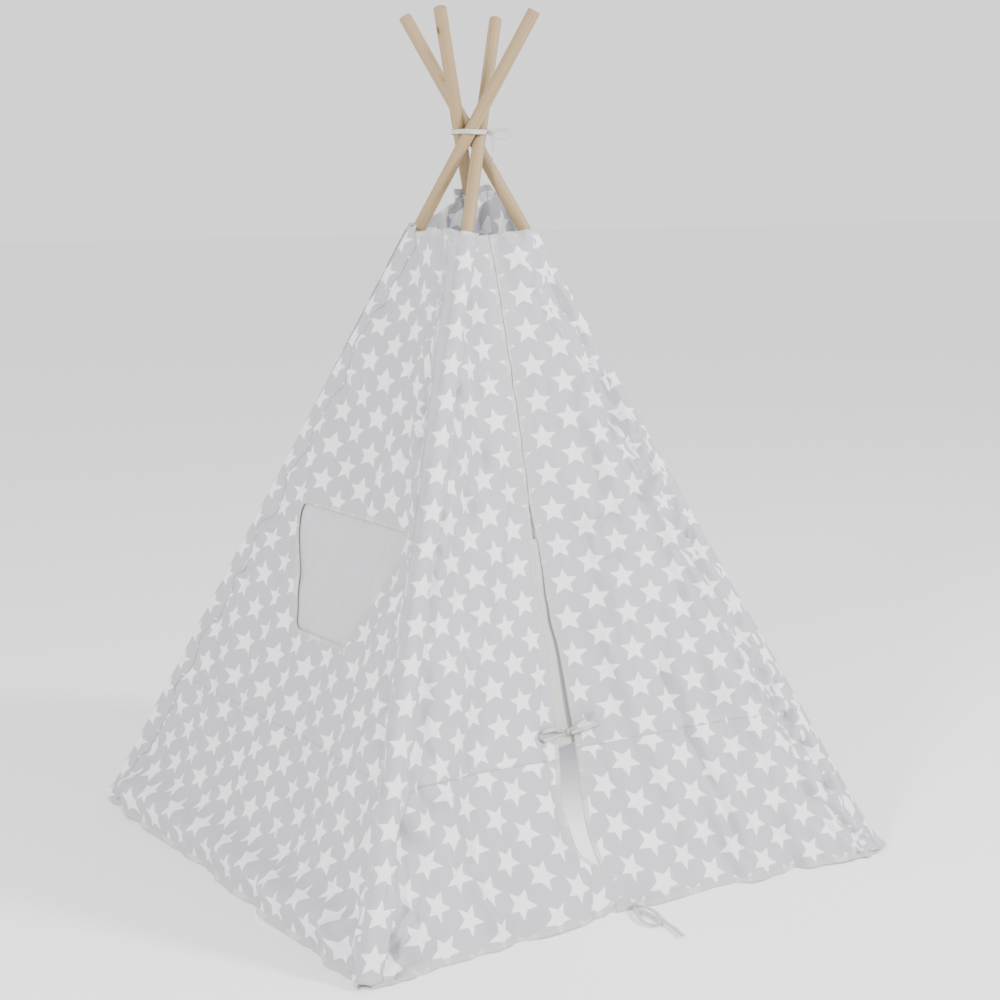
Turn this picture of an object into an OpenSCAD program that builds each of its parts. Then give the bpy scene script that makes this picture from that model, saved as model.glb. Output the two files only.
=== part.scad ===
// Four-pole play teepee: poles leaning through one crossing, in the corner sleeves of a square cloth cover.
// Millimetres, +Z up, origin on the floor under the crossing. The door is on the -Y face, the window on -X.

/* [Poles] */
// Length of a whole pole, both sections together
pole_length = 1800; // [1700:10:1900]
// Diameter of a pole
pole_diameter = 24; // [20:1:25]
// Lean of each pole from the vertical, in degrees
pole_lean = 30; // [29:0.5:31]
// Side of the square through the feet of the poles
base_side = 1090; // [1060:10:1120]

/* [Cover] */
// Thickness of the wall panels
wall_cloth = 2; // [1:0.5:3]
// Thickness of the sleeve and pocket cloth
sleeve_cloth = 0.8; // [0.6:0.1:1]
// Distance up the poles from their feet to the cross seam
seam_height = 310; // [280:10:340]
// Distance up the poles to the top of the cover at the front corners
cover_top = 1330; // [1310:10:1340]
// Distance up the back pole to the raised peak of the cover
cover_peak = 1420; // [1400:10:1430]
// Height of the corner pockets along the pole
pocket_height = 45; // [30:5:60]

/* [Ribbons] */
// Half thickness of the plain ribbon solids
ribbon_r = 2; // [1:0.5:2]
// Diameter of a tied knot
knot_d = 11; // [8:1:12]

/* [Hidden] */
$fn = 48;

// Corners and faces are numbered round from the front one: 0 front, 1 right, 2 back, 3 left.
// Face k runs from corner k to corner k + 1: 0 door face, 1 right wall, 2 back wall, 3 window wall.
pole_r = pole_diameter / 2;
pole_fit = 0.3;
sleeve_r = pole_r + pole_fit + sleeve_cloth;
foot_radius = base_side / sqrt(2);
// Each pole passes the centre line by this much, so that the four lie round one another
pinwheel = 0.783 * pole_diameter;
// The lowest rim of a pole's foot stands just clear of the floor
foot_lift = pole_r * sin(pole_lean) + 0.9;
pocket_floor = 3;
rim_chamfer = 1.5;
crossing_z = foot_radius / tan(pole_lean) + foot_lift;

dowel_d = 10;
dowel_half = 40;
dowel_fit = 0.05;

// The walls lie just outside the sleeves and run down to the floor
wall_gap = 0.3;
hem_drop = -12;
// How far each sleeve stands above the cover's top edge: front, right, back, left
sleeve_lift = [5, -4, 4, 14];

// Each half of the door face is flat but turned in about its pole, so the two meet in a shallow V.
// Shares run from a pole, at 0, to the middle line of the door face, at 1.
door_turn = 16.5;
slit_top = 780;
slit_stop = 4;
mid_gap = 0.8;
// The slit hangs a little to the left of the middle of the base
mid_shift = -25;
// Slit edges of the flaps: [distance up the poles, share], and how far along the hem each flap reaches
left_edge = [[seam_height, 0.95], [560, 0.962]];
right_edge = [[seam_height, 0.96], [560, 0.98]];
hem_reach = [0.975, 0.985];
hem_hollow = [0.075, -0.05];
hem_inset = 35;
fold_foot_share = 0.11;
fold_gap = 1;
bend_lap = 4;
far_slack = 0.3;
underlap_cloth = 1;
underlap_depth = 2.5;
underlap_span = [345, 700];
// Shares of the left half between which the facing lies, at its lower and its upper end
underlap_low = [0.92, 1.04];
underlap_high = [0.955, 0.99];

// Window outline on the window wall, and how far the curtain reaches past it
window_corners = [[500, 0.38], [500, 0.62], [748, 0.82], [748, 0.18]];
window_round = 22;
curtain_lap = 13;
curtain_gap = 12;
curtain_cloth = 1.2;

// Ribbon routes
crossing_tie_z = 1351;
band_width = 9;
band_cloth = 1.2;
band_gap = 1.9;
crossing_knot = [29.8, -27, 1349];
crossing_loop_route = [
    [35, -31, 1352], [42, -35, 1354], [53, -41, 1354], [61, -46, 1351], [64, -48, 1347],
    [61, -47, 1343], [53, -43, 1340], [42, -36, 1341], [34, -31, 1345]
];
crossing_tail_route = [[31, -29, 1343], [32, -31, 1333], [33, -33, 1322], [33, -33, 1309], [32, -32, 1294]];
upper_knot = [-14, -350, 282];
upper_loop_route = [
    [-21, -350, 284], [-38, -350, 289], [-58, -356, 292], [-75, -361, 291], [-82, -364, 285],
    [-74, -365, 278], [-57, -360, 277], [-37, -355, 278], [-21, -353, 279]
];
upper_long_route = [[-7, -349, 284], [3, -349, 289], [15, -349, 296], [28, -350, 302], [41, -350, 308]];
upper_short_route = [[-7, -352, 279], [10, -353, 281], [22, -353, 282], [34, -355, 285], [48, -359, 289]];
lower_knot = [7, -534, 8];
lower_loop_route = [
    [2, -540, 8], [-6, -556, 7], [-12, -571, 6], [-16, -587, 5], [-15, -603, 5], [-7, -613, 5],
    [3, -610, 5], [12, -595, 5], [13, -579, 5], [11, -562, 6], [9, -543, 8]
];
lower_tail_route = [
    [14, -537, 9], [20, -552, 9], [23, -571, 7], [20, -589, 5], [16, -607, 5], [13, -626, 5],
    [12, -641, 5], [8, -658, 5], [5, -676, 5]
];

wood = "burlywood";
star_grey = "lightgray";
plain_grey = "silver";
ribbon_white = "whitesmoke";

function unit(v) = v / norm(v);
function outward(k) = [cos(225 + 90 * k), sin(225 + 90 * k), 0];
function sideways(k) = [-sin(225 + 90 * k), cos(225 + 90 * k), 0];
function foot(k) = foot_radius * outward(k) + pinwheel * sideways(k) + [0, 0, foot_lift];
function rise(k) = cos(pole_lean) * [0, 0, 1] - sin(pole_lean) * outward(k);

// Frame of the wall plane of face k: x along the feet, y up the wall, z out of it
function wall_x(k) = unit(foot(k + 1) - foot(k));
function wall_y(k) = unit(rise(k) - (rise(k) * wall_x(k)) * wall_x(k));
function wall_z(k) = cross(wall_x(k), wall_y(k));
function wall_origin(k) = foot(k) + (sleeve_r + wall_gap) * wall_z(k);

// Flat point on a wall, q = [distance up the poles, share of the way across]; every face is alike
near_x = rise(0) * wall_x(0);
near_y = rise(0) * wall_y(0);
far_x = rise(1) * wall_x(0);
far_y = rise(1) * wall_y(0);
function flat_point(q) = [
    (1 - q[1]) * near_x * q[0] + q[1] * (norm(foot(1) - foot(0)) + far_x * q[0]),
    (1 - q[1]) * near_y * q[0] + q[1] * far_y * q[0]
];
// Frames of the two halves of the door face, for k = 0, the left half, and k = 1, the right half
function toward_mid(k) = let (x = (1 - 2 * k) * wall_x(0)) unit(x - (x * rise(k)) * rise(k));
function face_out(k) = (1 - 2 * k) * cross(toward_mid(k), rise(k));
function turned_out(k) = cos(door_turn) * face_out(k) + sin(door_turn) * toward_mid(k);
cover_gap = sleeve_r + wall_gap + wall_cloth;
left_foot = foot(0) + cover_gap * turned_out(0);
right_foot = foot(1) + (cover_gap + far_slack) * turned_out(1);
mid_x = (foot(0)[0] + foot(1)[0]) / 2 + mid_shift;
left_level = unit(cross([0, 0, 1], turned_out(0)));

// Outer side of the left half: along its pole, and along the middle line at the same height
function left_side(s) = left_foot + s * rise(0);
function left_mid(s) = left_side(s) + ((mid_x - left_side(s)[0]) / left_level[0]) * left_level;
function right_mid(s) = left_mid(s) + [mid_gap, 0, 0];
right_out = unit(cross(right_mid(seam_height) - right_foot, right_mid(cover_top) - right_foot));
right_rise = unit(rise(1) - (rise(1) * right_out) * right_out);
function door_side(k, s) = k == 0 ? left_side(s) : right_foot + s * right_rise;
function door_mid(k, s) = k == 0 ? left_mid(s) - [mid_gap, 0, 0] : right_mid(s);
function door_point(k, s, share) = (1 - share) * door_side(k, s) + share * door_mid(k, s);

// Named points of the door face; a flap's own points stand off the fold line by the fold gap
function seam_side(k) = door_side(k, seam_height);
function slit_head(k) = door_mid(k, slit_top);
function fold_foot(k) = door_point(k, hem_drop, fold_foot_share);
function on_fold(k, z) = let (a = fold_foot(k), b = slit_head(k)) a + (b - a) * (z - a[2]) / (b[2] - a[2]);
function fold_cut(k) = on_fold(k, seam_side(k)[2]);
function inward(k) = [fold_gap * (1 - 2 * k), 0, 0];
function flap_edge(k) = k == 0 ? left_edge : right_edge;
function edge_point(k, i) = door_point(k, flap_edge(k)[i][0], flap_edge(k)[i][1]);
hem_mid = [mid_x, (left_side(hem_drop)[1] + right_foot[1]) / 2 + hem_inset, left_side(hem_drop)[2]];
function hem_point(k) = fold_foot(k) + hem_reach[k] * (hem_mid - fold_foot(k));
function hollow_point(k) =
    let (m = (edge_point(k, 0) + hem_point(k)) / 2) m + hem_hollow[k] * (fold_foot(k) - m);

// Places its children with z up the pole at corner k and the origin at the pole's foot
module along_pole(k) {
    translate(foot(k)) rotate([0, 0, 225 + 90 * k]) rotate([0, -pole_lean, 0]) children();
}

// Stands a flat outline up as a sheet on face k; depth is how far its inner side lies behind the wall's
module on_wall(k, thickness, depth = 0) {
    x = wall_x(k);
    y = wall_y(k);
    z = wall_z(k);
    o = wall_origin(k) - depth * z;
    multmatrix([
        [x[0], y[0], z[0], o[0]],
        [x[1], y[1], z[1], o[1]],
        [x[2], y[2], z[2], o[2]],
        [0, 0, 0, 1]
    ]) linear_extrude(thickness) children();
}

module outline(points) {
    polygon([for (q = points) flat_point(q)]);
}

module pole_lower(k) {
    half = pole_length / 2;
    color(wood) along_pole(k) difference() {
        cylinder(r = pole_r, h = half);
        translate([0, 0, half - dowel_half]) cylinder(d = dowel_d + 2 * dowel_fit, h = dowel_half + 1);
    }
}

module pole_upper(k) {
    half = pole_length / 2;
    color(wood) along_pole(k) translate([0, 0, half]) difference() {
        rotate_extrude() polygon([
            [0, 0], [pole_r, 0], [pole_r, half - rim_chamfer], [pole_r - rim_chamfer, half], [0, half]
        ]);
        translate([0, 0, -1]) cylinder(d = dowel_d + 2 * dowel_fit, h = dowel_half + 1);
    }
}

module dowel(k) {
    color("tan") along_pole(k) translate([0, 0, pole_length / 2 - dowel_half])
        cylinder(d = dowel_d, h = 2 * dowel_half);
}

module sleeve(k, top) {
    color(star_grey) along_pole(k) translate([0, 0, pocket_height]) difference() {
        cylinder(r = sleeve_r, h = top - pocket_height);
        translate([0, 0, -1]) cylinder(r = pole_r + pole_fit, h = top);
    }
}

// Closed foot of a sleeve, cut flat where it stands on the floor
module pocket(k) {
    color(star_grey) difference() {
        along_pole(k) translate([0, 0, -pocket_floor]) difference() {
            cylinder(r = sleeve_r, h = pocket_height + pocket_floor);
            translate([0, 0, pocket_floor]) cylinder(r = pole_r + pole_fit, h = pocket_height + 1);
        }
        translate([-base_side, -base_side, -pocket_height]) cube([2 * base_side, 2 * base_side, pocket_height]);
    }
}

module band_sheet(k) {
    color(star_grey) on_wall(k, wall_cloth)
        outline([[hem_drop, 0], [hem_drop, 1], [seam_height, 1], [seam_height, 0]]);
}

module wall_sheet(near_top, far_top) {
    outline([[seam_height, 0], [seam_height, 1], [far_top, 1], [near_top, 0]]);
}

module window_outline(grow) {
    offset(r = window_round + grow, $fn = 32) offset(delta = -window_round) outline(window_corners);
}

module left_wall() {
    color(star_grey) on_wall(3, wall_cloth) difference() {
        wall_sheet(cover_top, cover_top);
        window_outline(0);
    }
}

module right_wall() {
    color(star_grey) on_wall(1, wall_cloth) wall_sheet(cover_top, cover_peak);
}

module back_wall() {
    color(star_grey) on_wall(2, wall_cloth) wall_sheet(cover_peak, cover_top);
}

module window_curtain() {
    color(plain_grey) on_wall(3, curtain_cloth, curtain_gap + curtain_cloth) difference() {
        window_outline(curtain_lap);
        translate(flat_point([window_corners[2][0], 0]) + [0, curtain_lap]) square(base_side);
    }
}

// A flat sheet whose outer side has the given corners, counterclockwise from outside; the first three
// and its depth behind that side set where it lies
module plate(points, thickness = wall_cloth, depth = 0) {
    x = unit(points[1] - points[0]);
    z = unit(cross(x, points[2] - points[0]));
    y = cross(z, x);
    o = points[0] - (depth + thickness) * z;
    multmatrix([
        [x[0], y[0], z[0], o[0]],
        [x[1], y[1], z[1], o[1]],
        [x[2], y[2], z[2], o[2]],
        [0, 0, 0, 1]
    ]) linear_extrude(thickness) polygon([for (p = points) [(p - points[0]) * x, (p - points[0]) * y]]);
}

// Corners of half k in the order that faces outwards
function facing(k, points) = k == 0 ? points : [for (i = [len(points) - 1:-1:0]) points[i]];

// The door face: two fixed panels joined by a seam above the slit, and two flaps below it.
// A flap and its fixed panel meet along the fold line from the top of the slit to the foot of a pole.
module door_panel(k) {
    color(star_grey) plate(facing(k, [
        seam_side(k), fold_cut(k), slit_head(k), door_mid(k, cover_top), door_side(k, cover_top)
    ]));
}

module door_band(k) {
    color(star_grey) plate(facing(k, [door_side(k, hem_drop), fold_foot(k), fold_cut(k), seam_side(k)]));
}

module door_flap(k) {
    color(star_grey) plate(facing(k, [
        fold_cut(k) + inward(k), edge_point(k, 0), edge_point(k, 1), door_mid(k, slit_top - slit_stop)
    ]));
}

// The lower part of a flap bends along the line from its foot to its slit edge at the seam.
// On the left the two parts lean apart behind that line, so the upper one runs on behind the lower one.
module flap_band(k) {
    corner = fold_foot(k) + inward(k);
    edge = edge_point(k, 0);
    lap = k == 0 ? [
        corner + bend_lap * unit(hem_point(k) - corner), edge + bend_lap * unit(hollow_point(k) - edge)
    ] : [];
    color(star_grey) {
        plate(concat(facing(k, [edge, fold_cut(k) + inward(k), corner]), lap));
        plate(facing(k, [corner, hem_point(k), hollow_point(k), edge]));
    }
}

// Plain facing behind the left flap, which shows in the upper part of the opening
module door_underlap() {
    low = underlap_span[0];
    high = underlap_span[1];
    color(plain_grey) plate([
        door_point(0, low, underlap_low[0]), door_point(0, low, underlap_low[1]),
        door_point(0, high, underlap_high[1]), door_point(0, high, underlap_high[0])
    ], underlap_cloth, underlap_depth);
}

// A ribbon's plain solid: an eight-sided tube swept along its route
function route_step(route, i) =
    unit(route[min(i + 1, len(route) - 1)] - route[max(i - 1, 0)]);
function ring_side(t) = unit(abs(t[2]) > 0.9 ? cross(t, [1, 0, 0]) : cross(t, [0, 0, 1]));
function ring(p, t, r) = let (a = ring_side(t), b = cross(a, t)) [
    for (i = [0:7]) p + r * (cos(45 * i) * a + sin(45 * i) * b)
];

module ribbon(route) {
    n = len(route);
    points = [for (i = [0:n - 1]) each ring(route[i], route_step(route, i), ribbon_r)];
    sides = [
        for (i = [0:n - 2], j = [0:7])
            each [[8 * i + j, 8 * i + (j + 1) % 8, 8 * (i + 1) + j],
                  [8 * i + (j + 1) % 8, 8 * (i + 1) + (j + 1) % 8, 8 * (i + 1) + j]]
    ];
    start = [[for (j = [7:-1:0]) j]];
    finish = [[for (j = [0:7]) 8 * (n - 1) + j]];
    color(ribbon_white) polyhedron(points, concat(sides, start, finish));
}

module knot(place) {
    color(ribbon_white) translate(place) sphere(d = knot_d);
}

module crossing_tie_band() {
    reach = pinwheel + pole_r + band_gap;
    color(ribbon_white) translate([0, 0, crossing_tie_z - band_width / 2])
        rotate_extrude() translate([reach, 0]) square([band_cloth, band_width]);
}

pole_lower(0);  // pole_front_lower
pole_lower(1);  // pole_right_lower
pole_lower(2);  // pole_back_lower
pole_lower(3);  // pole_left_lower
pole_upper(0);  // pole_front_upper
pole_upper(1);  // pole_right_upper
pole_upper(2);  // pole_back_upper
pole_upper(3);  // pole_left_upper
dowel(0);  // dowel_front
dowel(1);  // dowel_right
dowel(2);  // dowel_back
dowel(3);  // dowel_left
sleeve(0, cover_top + sleeve_lift[0]);  // sleeve_front
sleeve(1, cover_top + sleeve_lift[1]);  // sleeve_right
sleeve(2, cover_peak + sleeve_lift[2]);  // sleeve_back
sleeve(3, cover_top + sleeve_lift[3]);  // sleeve_left
pocket(0);  // pocket_front
pocket(1);  // pocket_right
pocket(2);  // pocket_back
pocket(3);  // pocket_left
left_wall();
band_sheet(3);  // left_band
right_wall();
band_sheet(1);  // right_band
back_wall();
band_sheet(2);  // back_band
door_panel(0);  // door_panel_left
door_panel(1);  // door_panel_right
door_band(0);  // door_band_left
door_band(1);  // door_band_right
door_flap(0);  // door_flap_left
door_flap(1);  // door_flap_right
flap_band(0);  // flap_band_left
flap_band(1);  // flap_band_right
door_underlap();
window_curtain();
crossing_tie_band();
knot(crossing_knot);  // crossing_tie_knot
ribbon(crossing_loop_route);  // crossing_tie_loop
ribbon(crossing_tail_route);  // crossing_tie_tail
knot(upper_knot);  // upper_tie_knot
ribbon(upper_loop_route);  // upper_tie_loop
ribbon(upper_long_route);  // upper_tie_long_end
ribbon(upper_short_route);  // upper_tie_short_end
knot(lower_knot);  // lower_tie_knot
ribbon(lower_loop_route);  // lower_tie_loop
ribbon(lower_tail_route);  // lower_tie_tail
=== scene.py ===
"""Four-pole play teepee: printed cotton cover, timber poles and tape ties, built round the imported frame."""
import math

import bpy
import numpy as np
from mathutils import Matrix, Vector


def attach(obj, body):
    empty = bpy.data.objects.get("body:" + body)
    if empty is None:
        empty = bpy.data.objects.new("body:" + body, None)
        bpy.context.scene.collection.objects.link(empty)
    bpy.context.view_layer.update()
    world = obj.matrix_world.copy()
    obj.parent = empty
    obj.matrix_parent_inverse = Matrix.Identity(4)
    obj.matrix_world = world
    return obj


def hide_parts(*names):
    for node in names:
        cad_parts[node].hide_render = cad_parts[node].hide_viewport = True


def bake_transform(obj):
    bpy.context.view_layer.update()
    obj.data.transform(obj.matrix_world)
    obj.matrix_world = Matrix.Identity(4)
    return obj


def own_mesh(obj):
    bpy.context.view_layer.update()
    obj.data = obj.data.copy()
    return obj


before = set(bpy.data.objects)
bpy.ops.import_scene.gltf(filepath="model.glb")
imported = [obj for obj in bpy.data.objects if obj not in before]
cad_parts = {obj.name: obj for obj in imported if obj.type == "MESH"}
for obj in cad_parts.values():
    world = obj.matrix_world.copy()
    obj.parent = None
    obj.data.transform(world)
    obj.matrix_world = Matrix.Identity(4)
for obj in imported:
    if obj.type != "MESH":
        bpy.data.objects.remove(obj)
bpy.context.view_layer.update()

# ---- driving dimensions, metres and radians ----
POLE_RADIUS = 0.012
POLE_LEAN = math.radians(30)
BASE_SIDE = 1.09
PINWHEEL = 0.783 * 2 * POLE_RADIUS
FOOT_RADIUS = BASE_SIDE / math.sqrt(2)
FOOT_LIFT = POLE_RADIUS * math.sin(POLE_LEAN) + 0.0009
SLEEVE_RADIUS = 0.0131
WALL_GAP = 0.0003
WALL_CLOTH = 0.002
SEAM = 0.310
HEM = -0.012
COVER_TOP = 1.330
COVER_PEAK = 1.420
DOOR_TURN = math.radians(16.5)
MID_GAP = 0.0008
MID_SHIFT = -0.025
FAR_SLACK = 0.0003
SLIT_TOP = 0.780
HEM_INSET = 0.035
FOLD_FOOT_SHARE = 0.11
CLOTH = 0.0007
FRONT, RIGHT, BACK, LEFT = range(4)
CORNERS = ["front", "right", "back", "left"]
UP = np.array([0.0, 0.0, 1.0])

# ---- the camera, at the photograph's viewing angle ----
CAMERA_PLACE = (-1.7558, -3.0229, 1.2533)
CAMERA_YAW, CAMERA_PITCH, CAMERA_ROLL = 0.5406, 0.1701, -0.0086
CAMERA_LENS, CAMERA_SENSOR = 66.06, 36.0


def unit(v):
    v = np.asarray(v, float)
    return v / np.linalg.norm(v, axis=-1, keepdims=True)


def make_camera():
    yaw, pitch, roll = CAMERA_YAW, CAMERA_PITCH, CAMERA_ROLL
    ahead = Vector((math.sin(yaw) * math.cos(pitch), math.cos(yaw) * math.cos(pitch), -math.sin(pitch)))
    level = Vector((math.cos(yaw), -math.sin(yaw), 0))
    right = level * math.cos(roll) + level.cross(ahead) * math.sin(roll)
    up = right.cross(ahead)
    data = bpy.data.cameras.new("camera")
    data.lens, data.sensor_width = CAMERA_LENS, CAMERA_SENSOR
    camera = bpy.data.objects.new("camera", data)
    axes = Matrix((right, up, -ahead)).transposed().to_4x4()
    camera.matrix_world = Matrix.Translation(CAMERA_PLACE) @ axes
    bpy.context.scene.collection.objects.link(camera)
    bpy.context.scene.camera = camera


# ---- places on the tent ----
def outward(k):
    angle = math.radians(225 + 90 * k)
    return np.array([math.cos(angle), math.sin(angle), 0])


def sideways(k):
    angle = math.radians(225 + 90 * k)
    return np.array([-math.sin(angle), math.cos(angle), 0])


def foot(k):
    return FOOT_RADIUS * outward(k) + PINWHEEL * sideways(k) + FOOT_LIFT * UP


def rise(k):
    return math.cos(POLE_LEAN) * UP - math.sin(POLE_LEAN) * outward(k)


def wall_axes(k):
    x = unit(foot(k + 1) - foot(k))
    y = unit(rise(k) - (rise(k) @ x) * x)
    return x, y, np.cross(x, y)


WALL_X, WALL_Y, _ = wall_axes(0)
WALL_WIDTH = float(np.linalg.norm(foot(1) - foot(0)))
NEAR = np.array([rise(0) @ WALL_X, rise(0) @ WALL_Y])
FAR = np.array([rise(1) @ WALL_X, rise(1) @ WALL_Y])


def flat_point(s, v):
    """Across and up the flat wall, for s up the poles and share v of the way across."""
    return (1 - v) * NEAR[0] * s + v * (WALL_WIDTH + FAR[0] * s), (1 - v) * NEAR[1] * s + v * FAR[1] * s


def wall_point(k, s, v, depth=0.0):
    """Point on wall k; depth counts outwards from the wall's outer side."""
    x, y, z = wall_axes(k)
    a, b = flat_point(s, v)
    origin = foot(k) + (SLEEVE_RADIUS + WALL_GAP + WALL_CLOTH) * z
    return origin + np.multiply.outer(a, x) + np.multiply.outer(b, y) + np.multiply.outer(depth, z)


def toward_mid(k):
    x = (1 - 2 * k) * WALL_X
    return unit(x - (x @ rise(k)) * rise(k))


def turned_out(k):
    face = (1 - 2 * k) * np.cross(toward_mid(k), rise(k))
    return math.cos(DOOR_TURN) * face + math.sin(DOOR_TURN) * toward_mid(k)


COVER_GAP = SLEEVE_RADIUS + WALL_GAP + WALL_CLOTH
LEFT_FOOT = foot(0) + COVER_GAP * turned_out(0)
RIGHT_FOOT = foot(1) + (COVER_GAP + FAR_SLACK) * turned_out(1)
MID_X = (foot(0)[0] + foot(1)[0]) / 2 + MID_SHIFT
LEFT_LEVEL = unit(np.cross(UP, turned_out(0)))


def left_mid(s):
    side = LEFT_FOOT + np.multiply.outer(s, rise(0))
    reach = (MID_X - side[..., 0]) / LEFT_LEVEL[0]
    return side + np.multiply.outer(reach, LEFT_LEVEL)


def door_mid(k, s):
    return left_mid(s) + np.array([MID_GAP if k else -MID_GAP, 0, 0])


RIGHT_OUT = unit(np.cross(door_mid(1, SEAM) - RIGHT_FOOT, door_mid(1, COVER_TOP) - RIGHT_FOOT))
RIGHT_RISE = unit(rise(1) - (rise(1) @ RIGHT_OUT) * RIGHT_OUT)
LEFT_HEM = LEFT_FOOT + HEM * rise(0)
HEM_MID = np.array([MID_X, LEFT_HEM[1] / 2 + RIGHT_FOOT[1] / 2 + HEM_INSET, LEFT_HEM[2]])


def door_side(k, s):
    start, along = (RIGHT_FOOT, RIGHT_RISE) if k else (LEFT_FOOT, rise(0))
    return start + np.multiply.outer(s, along)


def door_point(k, s, share):
    """Point on half k of the door face: 0 is the left half, 1 the right; share runs from pole to middle."""
    low = np.clip((SEAM - s) / (SEAM - HEM), 0, 1)[..., None]
    middle = door_mid(k, np.maximum(s, SEAM)) * (1 - low) + HEM_MID * low
    share = np.asarray(share)[..., None]
    return (1 - share) * door_side(k, s) + share * middle


def half_width(k, s):
    """Distance from the pole's side of half k to its middle edge."""
    return np.linalg.norm(door_point(k, s, 1.0 + 0 * s) - door_side(k, s), axis=-1)


def door_out(k):
    return RIGHT_OUT if k else turned_out(0)


def slit_head(k):
    return door_mid(k, SLIT_TOP)


def fold_foot(k):
    return door_point(k, np.array(HEM), FOLD_FOOT_SHARE)


# ---- smooth curves and cloth relief ----
def smooth(points, x):
    """Smooth curve through (x, y) points, level beyond its ends."""
    px, py = np.array(points, float).T
    slope = np.gradient(py, px)
    x = np.clip(x, px[0], px[-1])
    i = np.clip(np.searchsorted(px, x, side="right") - 1, 0, len(px) - 2)
    h = px[i + 1] - px[i]
    t = (x - px[i]) / h
    return (
        py[i] * (1 + 2 * t) * (1 - t) ** 2 + py[i + 1] * t * t * (3 - 2 * t)
        + h * t * (1 - t) * (slope[i] * (1 - t) - slope[i + 1] * t)
    )


def ease(x, low, high):
    t = np.clip((x - low) / (high - low), 0, 1)
    return t * t * (3 - 2 * t)


def noise(a, b, cell_a, cell_b, seed):
    """Smooth random field between -1 and 1 with cells of the given size."""
    table = np.random.default_rng(seed).uniform(-1, 1, (64, 64))
    a, b = a / cell_a + 100, b / cell_b + 100
    i, j = np.floor(a).astype(int), np.floor(b).astype(int)
    fa, fb = a - i, b - j
    fa, fb = fa**3 * (6 * fa * fa - 15 * fa + 10), fb**3 * (6 * fb * fb - 15 * fb + 10)
    i0, i1, j0, j1 = i % 64, (i + 1) % 64, j % 64, (j + 1) % 64
    low = table[i0, j0] * (1 - fa) + table[i1, j0] * fa
    high = table[i0, j1] * (1 - fa) + table[i1, j1] * fa
    return low * (1 - fb) + high * fb


def gathers(distance, along, seed, strength=0.0135):
    """Puckers that run in from a gathered pole seam and slope down as they fade."""
    lie = along + 0.9 * distance
    folds = noise(lie, distance, 0.028, 0.16, seed) + 0.7 * noise(lie, distance, 0.06, 0.25, seed + 1)
    fade = ease(distance, 0.012, 0.034) * np.exp(-distance / 0.075)
    return strength * folds * fade


def pleats(distance, along, seed, strength=0.004):
    """Long soft folds that lie nearly along a pole."""
    lie = distance - 0.10 * along
    fade = ease(distance, 0.02, 0.05) * np.exp(-distance / 0.16)
    return strength * noise(lie, along, 0.030, 0.45, seed) * fade


def corner_folds(side, hem, seed, strength=0.011):
    """Folds that fan out of the gathered corner at the foot of a pole."""
    reach = np.hypot(side, hem) + 1e-6
    fan = noise(np.arctan2(np.maximum(hem, 0), np.maximum(side, 0)), reach, 0.17, 0.12, seed)
    return strength * fan * ease(reach, 0.015, 0.05) * np.exp(-reach / 0.11)


def relief(left, right, hem, seed, billow=0.010, blouse=0.008, pull=(1.0, 1.0)):
    """Depth of the cloth's folds, from the distances to its two pole seams and its hem."""
    across = left - right
    soft = 0.0080 * noise(across, hem, 0.26, 0.34, seed + 2)
    soft = soft + 0.0085 * noise(across, hem, 0.075, 0.20, seed + 3)
    crumple = 0.0018 * noise(across + 0.4 * hem, hem, 0.024, 0.05, seed + 4)
    clear = ease(np.minimum(left, right), 0.014, 0.06)
    wave = billow * noise(across, 0 * hem, 0.085, 1.0, seed + 5) * np.exp(-np.abs(hem) / 0.07)
    edge = ease(np.minimum(left, right), 0.0, 0.09)
    depth = (soft + crumple) * clear + wave * edge
    depth = depth + blouse * np.exp(-(((hem - 0.055) / 0.032) ** 2)) * edge
    for side, (distance, strength) in enumerate(((left, pull[0]), (right, pull[1]))):
        depth = depth + strength * corner_folds(distance, hem, seed + 14 + side)
        depth = depth + strength * gathers(distance, hem, seed + 6 + 2 * side)
        depth = depth + strength * pleats(distance, hem, seed + 10 + side)
    return depth


def crease(points, across, hem, width=0.010, depth=0.012):
    """A fold line pressed along straight stretches between the given points of the flat cloth."""
    total = np.zeros_like(across)
    for (xa, ya), (xb, yb) in zip(points, points[1:]):
        d = np.array([xb - xa, yb - ya])
        length = math.hypot(*d)
        d /= length
        t = (across - xa) * d[0] + (hem - ya) * d[1]
        off = (across - xa) * d[1] - (hem - ya) * d[0]
        inside = ease(t, -0.01, 0.03) * (1 - ease(t, length - 0.03, length + 0.01))
        total = np.maximum(total, inside * np.exp(-((off / width) ** 2)))
    return depth * total


# ---- mesh building ----
def add_mesh(name, vertices, faces, materials, uv=None, trim=None, flat_faces=None):
    mesh = bpy.data.meshes.new(name)
    mesh.from_pydata([tuple(v) for v in vertices], [], faces)
    for material in materials:
        mesh.materials.append(material)
    smooth_flags = np.ones(len(mesh.polygons), bool)
    if flat_faces is not None:
        smooth_flags[flat_faces] = False
    mesh.polygons.foreach_set("use_smooth", smooth_flags)
    if uv is not None:
        corner = np.zeros(len(mesh.loops), int)
        mesh.loops.foreach_get("vertex_index", corner)
        layer = mesh.uv_layers.new(name="cloth")
        layer.data.foreach_set("uv", np.asarray(uv, float)[corner].ravel())
    if trim is not None:
        edge = mesh.attributes.new("edge_distance", "FLOAT", "POINT")
        edge.data.foreach_set("value", np.asarray(trim, np.float32))
    mesh.validate()
    mesh.update()
    piece = bpy.data.objects.new(name, mesh)
    bpy.context.scene.collection.objects.link(piece)
    return piece


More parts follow.
